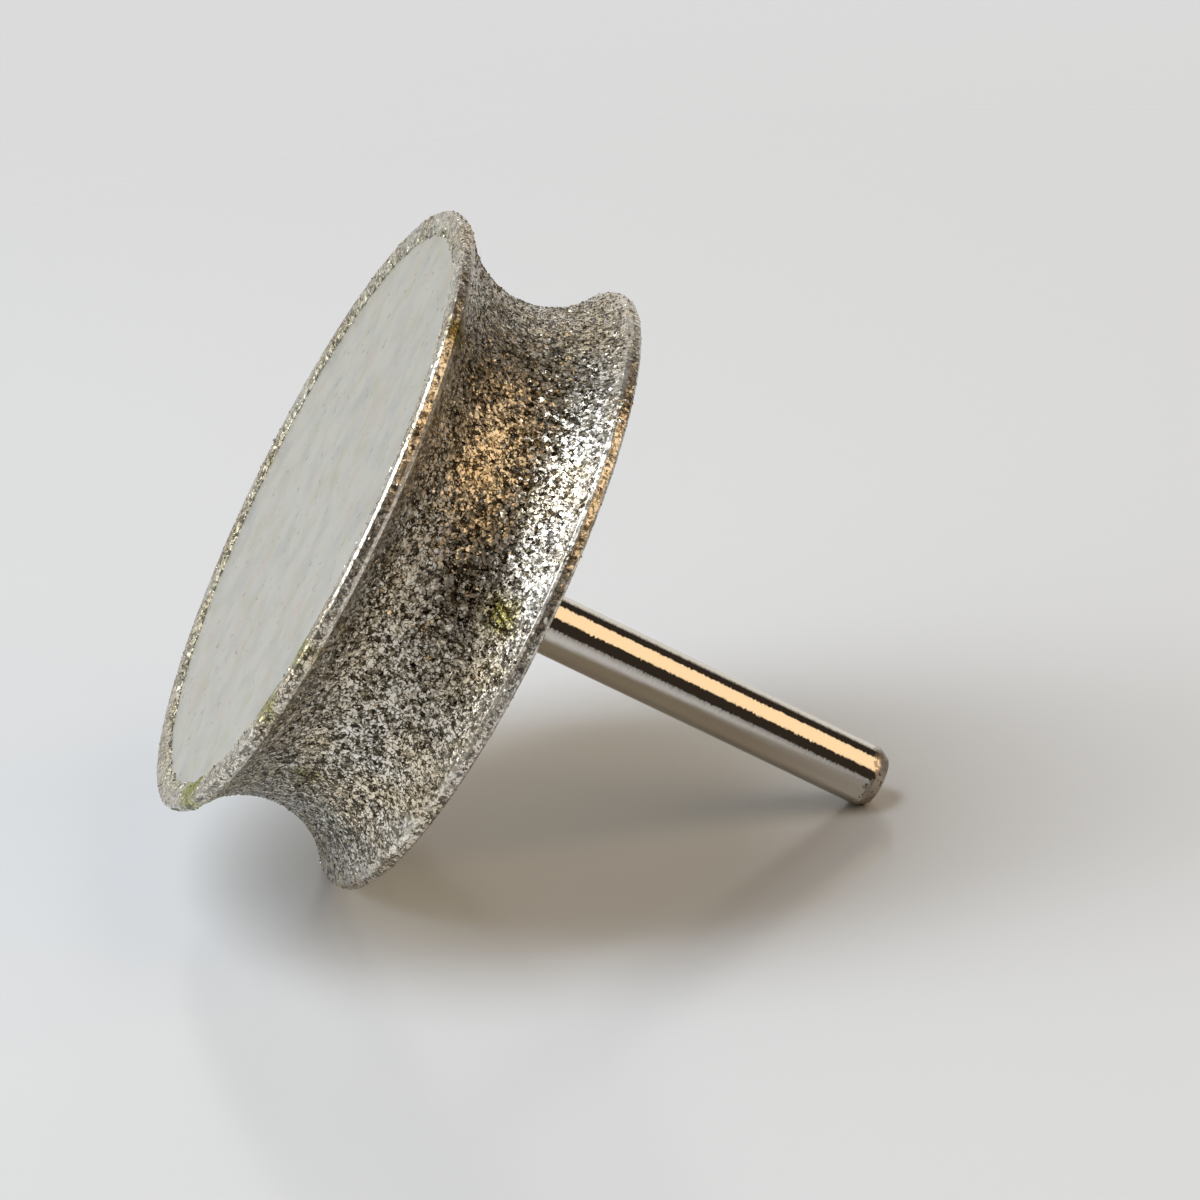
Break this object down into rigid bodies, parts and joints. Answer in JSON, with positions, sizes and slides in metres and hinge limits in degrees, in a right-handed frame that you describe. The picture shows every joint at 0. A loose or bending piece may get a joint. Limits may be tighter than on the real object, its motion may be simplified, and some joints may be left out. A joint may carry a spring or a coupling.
{
  "type": "concave diamond grinding wheel",
  "caption": "Round grinding wheel with a concave groove covered in plated diamond grit, a flat smooth face and a plain round shank.",
  "frame": {"origin": "middle of the front face, on the surface of the ring of grit that the wheel stands on", "axes": "+Z along the wheel's axis and the shank, towards the shank's tip; X and Y lie in the front face and are alike"},
  "size_m": [0.062, 0.062, 0.062],
  "materials": {
    "plated_steel": "turned steel under dull nickel plating, satin",
    "diamond_grit": "rough diamond grit held in bright nickel plating",
    "ground_shank": "ground round and bright plated, glossy"
  },
  "bodies": {
    "root": {"wheel_body": "plated_steel", "face_ring_grit": "diamond_grit", "profile_grit": "diamond_grit", "shank": "ground_shank"}
  },
  "joints": []
}
